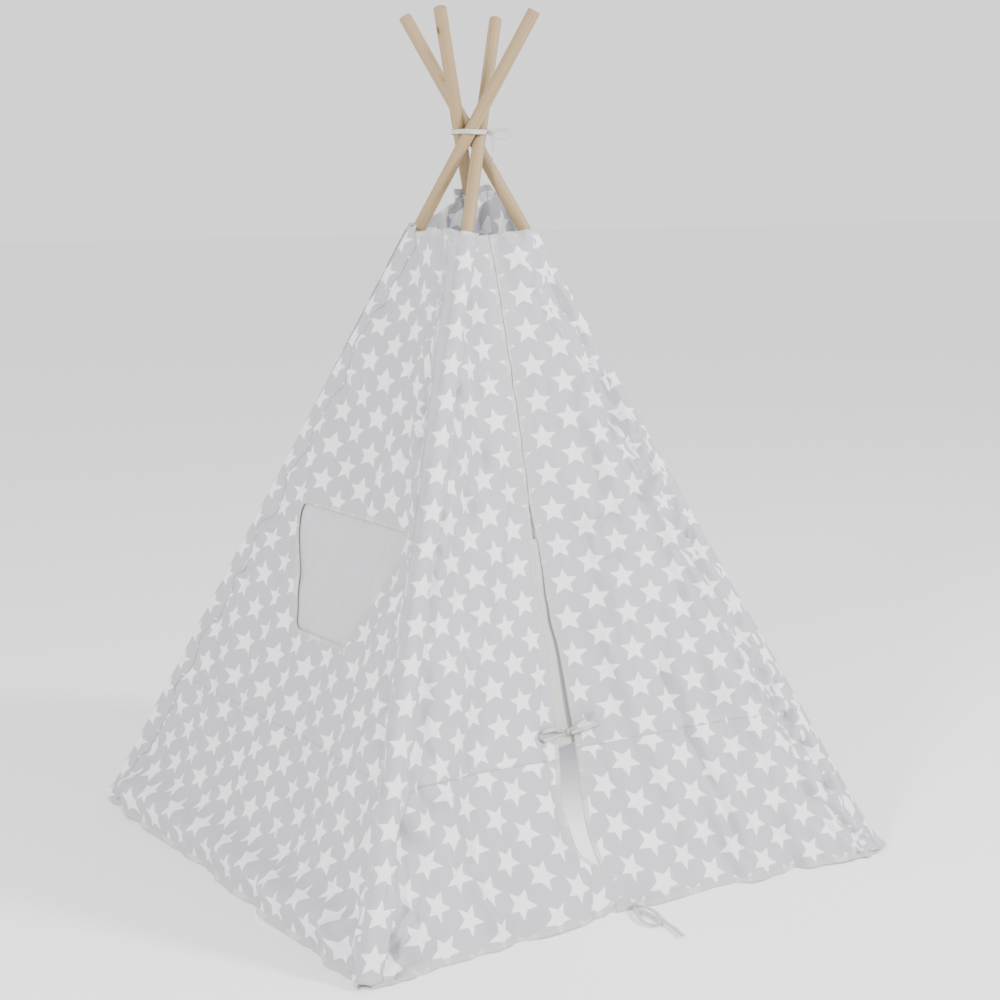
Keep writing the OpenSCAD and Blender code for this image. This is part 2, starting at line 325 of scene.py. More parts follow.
def grid_faces(rows, cols, wrap, start=0, turn=False):
    """Four-cornered faces of a grid of points; wrap joins its last column to its first."""
    low = np.arange(rows - 1)[:, None] * cols
    column = np.arange(cols if wrap else cols - 1)[None, :]
    after = (column + 1) % cols
    quads = np.stack([low + column, low + after, low + cols + after, low + cols + column], -1).reshape(-1, 4)
    return (quads[:, ::-1] if turn else quads) + start


def shell(name, points, uv, trim, material, outside, thickness=CLOTH, wrap=False):
    """A sheet of cloth with two sides and closed edges; points is a grid, rows up and columns across."""
    rows, cols = points.shape[:2]
    if wrap:
        across = np.roll(points, -1, 1) - np.roll(points, 1, 1)
    else:
        across = np.gradient(points, axis=1)
    normal = np.cross(across, np.gradient(points, axis=0))
    normal /= np.maximum(np.linalg.norm(normal, axis=-1, keepdims=True), 1e-12)
    turn = float((normal * outside).sum(-1).mean()) < 0
    if turn:
        normal = -normal
    outer = (points + normal * thickness / 2).reshape(-1, 3)
    inner = (points - normal * thickness / 2).reshape(-1, 3)
    count = rows * cols
    faces = [grid_faces(rows, cols, wrap, 0, turn), grid_faces(rows, cols, wrap, count, not turn)]
    grid = np.arange(count).reshape(rows, cols)
    last = np.append(grid[-1], grid[-1, 0]) if wrap else grid[-1]
    first = np.append(grid[0], grid[0, 0]) if wrap else grid[0]
    rims = [(last, False), (first, True)]
    if not wrap:
        rims += [(grid[:, 0], False), (grid[:, -1], True)]
    for line, back in rims:
        quads = np.stack([line[:-1], line[1:], line[1:] + count, line[:-1] + count], -1)
        faces.append(quads[:, ::-1] if back != turn else quads)
    rim_count = sum(len(f) for f in faces[2:])
    faces = np.concatenate(faces)
    two = [np.asarray(x).reshape(count, -1) for x in (uv, trim)]
    return add_mesh(
        name, np.concatenate([outer, inner]), faces.tolist(), [material],
        np.concatenate([two[0], two[0]]), np.concatenate([two[1], two[1]]).ravel(),
        np.arange(len(faces) - rim_count, len(faces)),
    )


def curve_through(points, per_step=8, closed=False):
    """Catmull-Rom curve through the points."""
    p = np.asarray(points, float)
    ends = (p[-1:], p[:2]) if closed else (2 * p[:1] - p[1:2], 2 * p[-1:] - p[-2:-1])
    q = np.concatenate([ends[0], p, ends[1]])
    t = np.linspace(0, 1, per_step, endpoint=False)[:, None]
    out = []
    for i in range(1, len(q) - 2):
        a, b, c, d = q[i - 1], q[i], q[i + 1], q[i + 2]
        square = (2 * a - 5 * b + 4 * c - d) * t**2
        cube = (3 * b - a - 3 * c + d) * t**3
        out.append(0.5 * (2 * b + (c - a) * t + square + cube))
    if not closed:
        out.append(p[-1:])
    return np.concatenate(out)


# A tape's section: shares of its width across its front side, then back across its rear side
TAPE_SECTION = [-0.46, -0.35, -0.15, 0.15, 0.35, 0.46, 0.46, 0.2, -0.2, -0.46]
TAPE_FRONT = 6


def tape(name, route, face, width, material, thickness=0.0011, twist=0.0):
    """A flat woven tape along a route, and the line that it follows; face is the way its flat side looks."""
    line = curve_through(route)
    ahead = unit(np.gradient(line, axis=0))
    side = unit(np.cross(ahead, np.broadcast_to(face, line.shape)))
    top = np.cross(side, ahead)
    angle = twist * np.linspace(0, 1, len(line))[:, None]
    side, top = side * np.cos(angle) + top * np.sin(angle), top * np.cos(angle) - side * np.sin(angle)
    wide = np.array(TAPE_SECTION) * width
    bow = 0.10 * width * (1 - (2 * wide / width) ** 2)
    thick = np.where(np.arange(len(wide)) < TAPE_FRONT, 0.5, -0.5) * thickness + bow
    rings = line[:, None] + side[:, None] * wide[None, :, None] + top[:, None] * thick[None, :, None]
    rows, cols = rings.shape[:2]
    faces = grid_faces(rows, cols, True).tolist()
    faces += [list(range(cols))[::-1], [(rows - 1) * cols + j for j in range(cols)]]
    length = np.concatenate([[0], np.cumsum(np.linalg.norm(np.diff(line, axis=0), axis=1))])
    uv = np.stack(np.broadcast_arrays(wide[None, :], length[:, None]), -1).reshape(-1, 2)
    return add_mesh(name, rings.reshape(-1, 3), faces, [material], uv), line


def knot(name, place, size, axis, material):
    """A small pulled knot: a soft lump with the turns of the tape wound over it."""
    rows, cols = 28, 40
    t = np.linspace(0.04, math.pi - 0.04, rows)[:, None]
    p = np.linspace(0, 2 * math.pi, cols, endpoint=False)[None, :]
    swell = 1 + 0.13 * np.sin(3 * p + 2.2 * t) + 0.06 * np.sin(7 * t + p)
    ball = np.stack(np.broadcast_arrays(np.sin(t) * np.cos(p), np.sin(t) * np.sin(p), np.cos(t)), -1)
    points = ball * swell[..., None] * np.array(size) / 2
    turn = Vector((0, 0, 1)).rotation_difference(Vector(axis)).to_matrix()
    points = points @ np.array(turn).T + np.array(place)
    faces = grid_faces(rows, cols, True, 0, True).tolist()
    faces += [list(range(cols)), [(rows - 1) * cols + j for j in range(cols)][::-1]]
    uv = np.stack(np.broadcast_arrays(p * 0.005, t * 0.005), -1).reshape(-1, 2)
    return add_mesh(name, points.reshape(-1, 3), faces, [material], uv)


def take_place(piece, node, body):
    """The piece stands for a CAD node, whose part it hides, and rides on its body."""
    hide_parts(node)
    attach(piece, body)


# ---- materials ----
class Shader:
    """Short calls for building one material's nodes."""

    def __init__(self, name, roughness, sheen=0.0):
        self.material = bpy.data.materials.new(name)
        self.material.use_nodes = True
        self.tree = self.material.node_tree
        self.surface = self.tree.nodes["Principled BSDF"]
        self.surface.inputs["Roughness"].default_value = roughness
        self.surface.inputs["Specular IOR Level"].default_value = 0.25
        if sheen:
            self.surface.inputs["Sheen Weight"].default_value = sheen
            self.surface.inputs["Sheen Roughness"].default_value = 0.6

    def node(self, kind, values=(), **settings):
        node = self.tree.nodes.new(kind)
        for key, value in settings.items():
            setattr(node, key, value)
        for key, value in dict(values).items():
            self.put(node.inputs[key], value)
        return node

    def put(self, socket, value):
        if isinstance(value, bpy.types.NodeSocket):
            self.tree.links.new(value, socket)
        else:
            socket.default_value = value

    def math(self, operation, *values):
        return self.node("ShaderNodeMath", dict(enumerate(values)), operation=operation).outputs[0]

    def span(self, value, low, high, to_low=0.0, to_high=1.0):
        values = {"Value": value, "From Min": low, "From Max": high, "To Min": to_low, "To Max": to_high}
        return self.node("ShaderNodeMapRange", values, interpolation_type="SMOOTHSTEP").outputs[0]

    def mix(self, share, a, b):
        node = self.node("ShaderNodeMix", data_type="RGBA")
        for key, value in ((0, share), (6, a), (7, b)):
            self.put(node.inputs[key], value)
        return node.outputs[2]

    def noise(self, vector, scale, detail=3.0, rough=0.5):
        values = {"Vector": vector, "Scale": scale, "Detail": detail, "Roughness": rough}
        return self.node("ShaderNodeTexNoise", values).outputs[0]

    def times(self, value, factor):
        return self.math("MULTIPLY", value, factor)

    def plus(self, value, other):
        return self.math("ADD", value, other)

    def minus(self, value, other):
        return self.math("SUBTRACT", value, other)

    def combine(self, x, y, z=0.0):
        return self.node("ShaderNodeCombineXYZ", {0: x, 1: y, 2: z}).outputs[0]

    def dot(self, vector, axis):
        node = self.node("ShaderNodeVectorMath", {0: vector, 1: tuple(axis)}, operation="DOT_PRODUCT")
        return node.outputs["Value"]

    def finish(self, colour, height, distance, strength=1.0):
        bump = self.node("ShaderNodeBump", {"Height": height, "Distance": distance, "Strength": strength})
        self.put(self.surface.inputs["Base Color"], colour)
        self.tree.links.new(bump.outputs[0], self.surface.inputs["Normal"])
        return self.material


THREAD = 0.0009
STAR_COLUMN, STAR_ROW, STAR_TIP, STAR_NOTCH = 0.054, 0.069, 0.0265, 0.0122
STAR_CENTRE, STAR_BLUR = 0.0015, 0.0004
CLOTH_GREY = (0.43, 0.425, 0.46, 1)
STAR_WHITE = (0.82, 0.815, 0.86, 1)
TRIM_GREY = (0.46, 0.46, 0.445, 1)
STITCH = 0.006
# Distances in from a turned hem's edge: its fold starts and ends, and its stitching
HEM_FOLD, HEM_STITCHES = (0.0125, 0.0115), 0.0095
# How often the yarn's slubs vary along a thread and across it, per metre
YARN_LENGTH, YARN_WIDTH = 40.0, 900.0


def weave_height(sh, u, v, thread=THREAD):
    """Plain weave: warp and weft threads that pass over and under each other."""
    warp = sh.math("SINE", sh.times(u, 2 * math.pi / thread))
    weft = sh.math("SINE", sh.times(v, 2 * math.pi / thread))
    return sh.times(warp, weft)


def star_mask(sh, u, v):
    """1 inside a five-pointed star of a staggered all-over print, 0 outside."""
    column = sh.math("ROUND", sh.math("DIVIDE", u, STAR_COLUMN))
    x = sh.minus(u, sh.times(column, STAR_COLUMN))
    shift = sh.times(sh.math("FLOORED_MODULO", column, 2.0), STAR_ROW / 2)
    lifted = sh.minus(v, shift)
    row = sh.math("ROUND", sh.math("DIVIDE", lifted, STAR_ROW))
    y = sh.minus(lifted, sh.times(row, STAR_ROW))
    y = sh.plus(y, STAR_CENTRE)
    radius = sh.math("SQRT", sh.plus(sh.times(x, x), sh.times(y, y)))
    arm = 2 * math.pi / 5
    angle = sh.plus(sh.math("ARCTAN2", x, y), 2 * math.pi + arm / 2)
    folded = sh.math("ABSOLUTE", sh.minus(sh.math("FLOORED_MODULO", angle, arm), arm / 2))
    px = sh.times(radius, sh.math("COSINE", folded))
    py = sh.times(radius, sh.math("SINE", folded))
    notch_x, notch_y = STAR_NOTCH * math.cos(arm / 2), STAR_NOTCH * math.sin(arm / 2)
    length = math.hypot(STAR_TIP - notch_x, notch_y)
    nx, ny = notch_y / length, (STAR_TIP - notch_x) / length
    off = sh.plus(sh.times(sh.minus(px, STAR_TIP), nx), sh.times(py, ny))
    return sh.span(off, STAR_BLUR, -STAR_BLUR)


def cotton_material(name, printed=True, colour=CLOTH_GREY):
    """Plain-woven cotton with its print, slubs, a turned hem along its edges and the hem's stitches."""
    sh = Shader(name, roughness=0.9, sheen=0.12)
    flat = sh.node("ShaderNodeUVMap", uv_map="cloth").outputs[0]
    parts = sh.node("ShaderNodeSeparateXYZ", {0: flat}).outputs
    u, v = parts[0], parts[1]
    edge = sh.node("ShaderNodeAttribute", attribute_name="edge_distance").outputs["Fac"]
    cloudy = sh.noise(flat, 7.0, 4.0, 0.6)
    slub_across = sh.noise(sh.combine(sh.times(u, YARN_LENGTH), sh.times(v, YARN_WIDTH)), 1.0, 2.0)
    slub_up = sh.noise(sh.combine(sh.times(u, YARN_WIDTH), sh.times(v, YARN_LENGTH)), 1.0, 2.0)
    threads = sh.plus(slub_across, slub_up)
    base = colour
    if printed:
        ink = sh.times(star_mask(sh, u, v), sh.span(threads, 0.55, 0.95, 0.93, 1.0))
        base = sh.mix(ink, colour, STAR_WHITE)
    turned = sh.span(edge, *HEM_FOLD)
    base = sh.mix(sh.times(turned, 0.75 if printed else 0.2), base, TRIM_GREY)
    clouds = sh.span(cloudy, 0.3, 0.7, 0.965, 1.02)
    tone = sh.times(clouds, sh.span(threads, 0.7, 1.3, 0.97, 1.02))
    near_line = sh.span(sh.math("ABSOLUTE", sh.minus(edge, HEM_STITCHES)), 0.0008, 0.0003)
    dash = sh.span(sh.math("PINGPONG", sh.plus(u, v), STITCH / 2), 0.0007, 0.0011)
    stitch = sh.times(near_line, dash)
    tone = sh.times(tone, sh.span(stitch, 0, 1, 1.0, 0.90))
    shade = sh.combine(tone, tone, tone)
    tinted = sh.node("ShaderNodeVectorMath", {0: base, 1: shade}, operation="MULTIPLY").outputs[0]
    height = sh.plus(sh.times(weave_height(sh, u, v), 0.10), sh.times(threads, 0.18))
    height = sh.plus(height, sh.times(turned, 0.9))
    height = sh.minus(height, sh.times(near_line, 0.6))
    return sh.finish(tinted, height, 0.0008, 0.6)


def tape_material(name):
    """Narrow woven tape: close ribs across it, and painted shade darkening it along both edges."""
    sh = Shader(name, roughness=0.8, sheen=0.15)
    flat = sh.node("ShaderNodeUVMap", uv_map="cloth").outputs[0]
    parts = sh.node("ShaderNodeSeparateXYZ", {0: flat}).outputs
    ribs = weave_height(sh, parts[0], parts[1], 0.0012)
    worn = sh.noise(flat, 25.0, 3.0)
    # painted shade: the tape's colour darkens towards both its edges, where shading would fall
    painted_edge_shade = sh.span(sh.math("ABSOLUTE", parts[0]), 0.0030, 0.0036)
    colour = sh.mix(sh.span(worn, 0.3, 0.7, 0.0, 1.0), (0.40, 0.397, 0.385, 1), (0.53, 0.527, 0.515, 1))
    colour = sh.mix(sh.times(painted_edge_shade, 0.45), colour, (0.26, 0.255, 0.25, 1))
    height = sh.plus(sh.times(ribs, 0.4), sh.times(worn, 0.5))
    return sh.finish(colour, height, 0.0004, 0.4)


RING_WIDTH, FIBRES_ACROSS, FIBRES_ALONG = 0.0034, 1500.0, 28.0


def wood_material(name, k):
    """Sanded pine: growth rings about a pith beside the pole's axis, fine fibres and small knots."""
    sh = Shader(name, roughness=0.5)
    sh.surface.inputs["Coat Weight"].default_value = 0.05
    place = sh.node("ShaderNodeTexCoord").outputs["Object"]
    first = unit(np.cross(rise(k), UP))
    second = np.cross(rise(k), first)
    centre = foot(k)
    offset = (0.031 * math.cos(1.9 * k), 0.027 * math.sin(1.3 + 2.3 * k))
    a = sh.minus(sh.dot(place, first), float(centre @ first) + offset[0])
    b = sh.minus(sh.dot(place, second), float(centre @ second) + offset[1])
    c = sh.minus(sh.dot(place, rise(k)), float(centre @ rise(k)))
    drift = sh.combine(sh.times(a, 22.0), sh.times(b, 22.0), sh.plus(sh.times(c, 2.2), 7.3 * k))
    wander = sh.noise(drift, 1.0, 3.0, 0.5)
    ring = sh.math("SQRT", sh.plus(sh.times(a, a), sh.times(b, b)))
    ring = sh.plus(ring, sh.times(wander, 0.016))
    growth = sh.math("SINE", sh.times(ring, 2 * math.pi / RING_WIDTH))
    late = sh.span(growth, 0.1, 0.95)
    fibres = sh.combine(sh.times(a, FIBRES_ACROSS), sh.times(b, FIBRES_ACROSS), sh.times(c, FIBRES_ALONG))
    fibre = sh.noise(fibres, 1.0, 3.0, 0.6)
    spots = sh.combine(a, b, sh.plus(sh.times(c, 0.62), 3.1 * k))
    cell = sh.node("ShaderNodeTexVoronoi", {"Vector": spots, "Scale": 17.0}).outputs["Distance"]
    knot_mark = sh.span(cell, 0.105, 0.055)
    halo = sh.span(cell, 0.20, 0.10)
    pale, tan, dark = (0.34, 0.245, 0.132, 1), (0.215, 0.138, 0.06, 1), (0.07, 0.035, 0.017, 1)
    colour = sh.mix(sh.times(late, 0.42), pale, tan)
    colour = sh.mix(sh.span(fibre, 0.42, 0.75, 0.0, 0.30), colour, tan)
    colour = sh.mix(sh.span(wander, 0.35, 0.75, 0.0, 0.22), colour, (0.40, 0.30, 0.19, 1))
    colour = sh.mix(sh.times(halo, 0.35), colour, tan)
    colour = sh.mix(sh.times(knot_mark, 0.85), colour, dark)
    height = sh.minus(sh.times(fibre, 0.5), sh.times(late, 0.35))
    return sh.finish(colour, height, 0.0004, 0.5)


def steel_material(name):
    sh = Shader(name, roughness=0.32)
    sh.surface.inputs["Metallic"].default_value = 1.0
    place = sh.node("ShaderNodeTexCoord").outputs["Object"]
    marks = sh.noise(place, 400.0, 3.0)
    colour = sh.mix(marks, (0.50, 0.50, 0.49, 1), (0.62, 0.62, 0.60, 1))
    return sh.finish(colour, marks, 0.0001)


# ---- the cover's walls ----
WALL_TOPS = {RIGHT: (COVER_TOP, COVER_PEAK), BACK: (COVER_PEAK, COVER_TOP), LEFT: (COVER_TOP, COVER_TOP)}
WALL_SAG = {RIGHT: 0.034, BACK: 0.036, LEFT: 0.050}
WALL_BLOUSE = {RIGHT: 0.014, BACK: 0.014, LEFT: 0.034}
WALL_BILLOW = {RIGHT: 0.008, BACK: 0.008, LEFT: 0.004}
SAG_LEAN = {RIGHT: 1.0, BACK: 1.0, LEFT: 1.25}
WALL_PULL = {RIGHT: (1.2, 1.2), BACK: (1.2, 1.2), LEFT: (1.1, 2.0)}
# The curtain's upper corner draws the window wall in beside the front pole
WINDOW_TUG = 0.018
WINDOW_LOW, WINDOW_HIGH = 0.500, 0.748
WINDOW_SHARES = [(0.38, WINDOW_LOW), (0.62, WINDOW_LOW), (0.85, WINDOW_HIGH), (0.19, WINDOW_HIGH)]
PRINT_SHIFT = {RIGHT: (0.013, 0.02), BACK: (0.03, 0.045), LEFT: (0.012, 0.008)}
SEAM_TUCK = 0.0016
# Width of a sleeve strip's wings on the wall before each pole and on the wall after it
WINGS = {FRONT: (0.019, 0.021), RIGHT: (0.062, 0.028), BACK: (0.028, 0.028), LEFT: (0.028, 0.036)}


def groove(distance, wing, along, seed, depth=0.0050):
    """The wall is drawn in, in puckers, along the stitching of a sleeve's wing."""
    drawn = 0.6 + 0.5 * noise(along, 0 * along, 0.018, 1.0, seed)
    return -depth * drawn * np.exp(-(((distance - wing - 0.004) / 0.006) ** 2))


def seam_tuck(hem_distance):
    """The cloth pinches in along the sewn cross seam."""
    return -SEAM_TUCK * np.exp(-(((hem_distance - (SEAM - HEM) * NEAR[1]) / 0.006) ** 2))


def wall_surface(k, s, v):
    """Points of wall k with its sag, folds and gathers, and its flat cloth coordinates."""
    a, b = flat_point(s, v)
    left = a - NEAR[0] * s
    right = (WALL_WIDTH + FAR[0] * s) - a
    hem = b - HEM * NEAR[1]
    top = np.interp(v, [0, 1], WALL_TOPS[k])
    body = np.sin(math.pi * np.clip((s - HEM) / (top - HEM), 0, 1) ** 0.85) ** 0.8
    sag = WALL_SAG[k] * body * np.sin(math.pi * np.clip(v, 0, 1) ** SAG_LEAN[k])
    if k == LEFT:
        corner = np.array(flat_point(WINDOW_HIGH, WINDOW_SHARES[2][0]))
        off = np.hypot(a - corner[0], b - corner[1])
        sag = sag + WINDOW_TUG * np.exp(-((off / 0.10) ** 2))
    depth = relief(left, right, hem, 100 * k, WALL_BILLOW[k], WALL_BLOUSE[k], WALL_PULL[k])
    depth = depth - sag + seam_tuck(hem)
    depth = depth + groove(left, WINGS[k][1], s, 100 * k + 20, 0.0018)
    depth = depth + groove(right, WINGS[(k + 1) % 4][0], s, 100 * k + 21, 0.0030)
    depth = depth * ease(np.minimum(left, right), -0.001, 0.014)
    points = wall_point(k, s, v, depth)
    points[..., 2] = np.maximum(points[..., 2], 0.0008)
    return points, a - WALL_WIDTH / 2, b


def edge_gap(*distances):
    """The smallest of the distances to several edges."""
    return np.minimum.reduce(np.broadcast_arrays(*distances))


def wall_sheet(k, upper, name, node, material):
    """Wall k's sheet above the cross seam, hemmed along its top, or its band below, hemmed along its foot."""
    rows, cols = (190, 200) if upper else (76, 220)
    v = np.linspace(0, 1, cols)[None, :] * np.ones((rows, 1))
    low, high = (SEAM, np.interp(v, [0, 1], WALL_TOPS[k])) if upper else (HEM, SEAM)
    s = low + (high - low) * np.linspace(0, 1, rows)[:, None]
    points, a, b = wall_surface(k, s, v)
    trim = b[-1:] - b if upper else b - b[:1]
    uv = np.stack([a + PRINT_SHIFT[k][0], b + PRINT_SHIFT[k][1]], -1)
    piece = shell(name, points, uv, trim, material, wall_axes(k)[2])
    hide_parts(node)
    return piece


WINDOW_ROUND = 0.022


def rounded(corners, radius, per_corner):
    """Closed outline of straight sides and round corners, as points in order."""
    out = []
    n = len(corners)
    for i in range(n):
        p = corners[i]
        to_last, to_next = unit(corners[i - 1] - p), unit(corners[(i + 1) % n] - p)
        half = math.acos(float(to_last @ to_next)) / 2
        cut = radius / math.tan(half)
        centre = p + unit(to_last + to_next) * radius / math.sin(half)
        start, stop = p + to_last * cut - centre, p + to_next * cut - centre
        for t in np.linspace(0, 1, per_corner):
            out.append(centre + radius * unit(start * (1 - t) + stop * t))
    return np.array(out)


def closed_steps(outline):
    """Distance along a closed outline to each of its points, and right round it last."""
    closed = np.concatenate([outline, outline[:1]])
    return np.concatenate([[0], np.cumsum(np.linalg.norm(np.diff(closed, axis=0), axis=1))])


def points_along(outline, steps, at):
    """Points of a closed outline at the given steps."""
    closed = np.concatenate([outline, outline[:1]])
    return np.stack([np.interp(at, steps, closed[:, i]) for i in (0, 1)], -1)


def spread(outline, count, start):
    """The same closed outline as evenly spaced points, beginning nearest to start."""
    steps = closed_steps(outline)
    out = points_along(outline, steps, np.linspace(0, steps[-1], count, endpoint=False))
    return np.roll(out, -int(np.argmin(np.linalg.norm(out - start, axis=1))), 0)


def share_and_rise(a, b):
    """Share across and distance up the poles of a point of the flat wall."""
    s = b / NEAR[1]
    for _ in range(4):
        v = (a - NEAR[0] * s) / (WALL_WIDTH + (FAR[0] - NEAR[0]) * s)
        s = b / ((1 - v) * NEAR[1] + v * FAR[1])
    return s, v


def window_outline():
    corners = np.array([flat_point(s, v) for v, s in WINDOW_SHARES])
    return rounded(corners, WINDOW_ROUND, 12)


def bearing(points, centre):
    return np.unwrap(np.arctan2(points[:, 1] - centre[1], points[:, 0] - centre[0]))


def wall_outline():
    """Points along the four edges of the window wall's upper sheet."""
    corners = [flat_point(s, v) for s, v in ((SEAM, 0.0), (SEAM, 1.0), (COVER_TOP, 1.0), (COVER_TOP, 0.0))]
    sides = [np.linspace(corners[i], corners[(i + 1) % 4], 400, endpoint=False) for i in range(4)]
    return np.concatenate(sides)


def window_wall(material):
    """The window wall's upper sheet: rings of points that spread from the window to the wall's edges."""
    count, rings = 860, 120
    hole = spread(window_outline(), count, window_outline()[0])
    edges = wall_outline()
    # each point round the hole first pairs with the point of the wall's edges on the same bearing
    hole_turn = bearing(hole, hole.mean(0))
    edge_turn = bearing(edges, hole.mean(0))
    full = 2 * math.pi
    edge_turn += full * round((hole_turn[0] - edge_turn[0]) / full)
    turns = np.concatenate([edge_turn - full, edge_turn, edge_turn + full])
    outer = np.stack([np.interp(hole_turn, turns, np.tile(edges[:, i], 3)) for i in (0, 1)], -1)
    # both then move along together, so that the outer ones lie evenly along the wall's edges
    steps = closed_steps(outer)
    even = np.linspace(0, steps[-1], count, endpoint=False)
    outer_even = points_along(outer, steps, even)
    hole_even = points_along(hole, steps, even)
    t = (np.linspace(0, 1, rings) ** 1.25)[:, None, None]
    flat = hole_even[None] * (1 - t) + outer_even[None] * t
    a, b = flat[..., 0], flat[..., 1]
    s, v = share_and_rise(a, b)
    points, a, b = wall_surface(LEFT, s, np.clip(v, 0, 1))
    from_hole = np.linalg.norm(flat - hole_even[None], axis=-1)
    from_top = COVER_TOP * NEAR[1] - b
    trim = np.minimum(from_hole, np.maximum(from_top, 0))
    uv = np.stack([a + PRINT_SHIFT[LEFT][0], b + PRINT_SHIFT[LEFT][1]], -1)
    piece = shell("window_wall_cloth", points, uv, trim, material, wall_axes(LEFT)[2], wrap=True)
    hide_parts("left_wall")
    return piece


CURTAIN_DEPTH, CURTAIN_LAP = 0.0050, 0.013


def curtain(material):
    """The plain curtain inside the window, hung from its top edge, in shallow folds."""
    rows, cols = 70, 130
    t = np.linspace(0, 1, rows)[:, None]
    x = np.linspace(0, 1, cols)[None, :]
    low = np.array([flat_point(s, v) for v, s in WINDOW_SHARES[:2]])
    high = np.array([flat_point(s, v) for v, s in WINDOW_SHARES[:1:-1]])
    foot_b, head_b = low[0, 1], high[0, 1]
    b = foot_b - CURTAIN_LAP + (head_b + CURTAIN_LAP - foot_b + CURTAIN_LAP) * t
    left = np.interp(b, [foot_b, head_b], [low[0, 0], high[0, 0]]) - CURTAIN_LAP
    right = np.interp(b, [foot_b, head_b], [low[1, 0], high[1, 0]]) + CURTAIN_LAP
    a = left + (right - left) * x
    b = b + 0 * a
    s, v = share_and_rise(a, b)
    folds = 0.0022 * noise(a, b, 0.032, 0.30, 61) * (1 - 0.7 * ease(t, 0.75, 1.0))
    points, _, _ = wall_surface(LEFT, s, v)
    points = points + (folds - CURTAIN_DEPTH)[..., None] * wall_axes(LEFT)[2]
    trim = edge_gap(b - b[:1], b[-1:] - b, a - a[:, :1], a[:, -1:] - a)
    piece = shell("window_curtain_cloth", points, np.stack([a, b], -1), trim, material, wall_axes(LEFT)[2])
    take_place(piece, "window_curtain", "window_curtain")
    return piece


# ---- the door face ----
# The slit edges of the two flaps: (distance up the poles, share of the half)
LEFT_EDGE = [
    (-0.012, 1.012), (0.02, 1.006), (0.045, 0.992), (0.062, 0.968), (0.10, 0.893), (0.157, 0.872),
    (0.219, 0.884), (0.275, 0.93), (0.31, 0.947), (0.377, 0.950), (0.50, 0.961), (0.66, 0.966),
    (0.74, 0.985), (0.79, 1.0)
]
RIGHT_EDGE = [
    (-0.012, 0.995), (0.02, 1.004), (0.045, 1.018), (0.066, 1.028), (0.119, 1.036), (0.190, 1.022),
    (0.26, 0.985), (0.31, 0.968), (0.37, 0.966), (0.49, 0.976), (0.656, 0.994), (0.72, 1.0), (0.79, 1.0)
]
# Pressed fold lines on each half: distance out from the slit and up from the hem, metres
DOOR_CREASES = {
    0: [[(-0.32, 0.28), (-0.30, 0.14), (-0.27, 0.02)]],
    1: [
        [(0.20, 0.42), (0.225, 0.30), (0.25, 0.16), (0.28, 0.03)],
        [(0.06, 0.66), (0.16, 0.70)],
        [(0.10, 0.60), (0.17, 0.62)],
    ],
}


def door_surface(k, s, share):
    side = 1 if k else -1
    base = door_point(k, s, share)
    width = half_width(k, s)
    from_pole = share * width
    from_mid = (1 - share) * width
    up = s * NEAR[1]
    hem = up - HEM * NEAR[1]
    depth = relief(from_pole, from_mid + 0.25, hem, 900 + 50 * k, billow=0.014, blouse=0.010, pull=(1.6, 0))
    depth = depth + groove(from_pole, WINGS[k][0 if k else 1], s, 930 + k)
    depth = depth - 0.010 * np.sin(math.pi * np.clip(share, 0, 1)) * ease(s, 0.0, 0.3)
    for line in DOOR_CREASES[k]:
        depth = depth + crease(line, side * from_mid, hem)
    depth = depth + seam_tuck(hem + seam_drop(k, share)) * ease(from_pole, 0.0, 0.02)
    # the two halves meet along the middle, so they share its folds there
    joined = np.exp(-np.abs(from_mid) / 0.04) * ease(s, 0.05, 0.12)
    depth = depth * (1 - joined) + middle_wave(s) * joined
    depth = depth * ease(from_pole, -0.001, 0.014)
    overlap = ease(s, 0.09, 0.02) * ease(share, 0.8, 0.96)
    depth = depth + (0.004 if k == 0 else -0.003) * overlap
    lean = ease(share, 0.6, 1.0)[..., None]
    out = unit((1 - lean) * door_out(k) + lean * DOOR_MEAN)
    points = base + depth[..., None] * out
    points[..., 2] = np.maximum(points[..., 2], 0.0008)
    return points, side * from_mid, up


DOOR_MEAN = unit(turned_out(0) + RIGHT_OUT)
# The lower tie draws the end of the left flap's hem up off the floor
HEM_LIFT = 0.020
SEAM_DROP = {0: (0.012, 0.034), 1: (0.010, 0.024)}


def seam_drop(k, share):
    """How far the cross seam hangs below its height at the poles, towards the slit."""
    return SEAM_DROP[k][0] + SEAM_DROP[k][1] * np.clip(share, 0, 1) ** 1.5


def middle_wave(s):
    return 0.0035 * noise(s, 0 * s, 0.11, 1.0, 970) + 0.0012 * noise(s, 0 * s, 0.035, 1.0, 971)


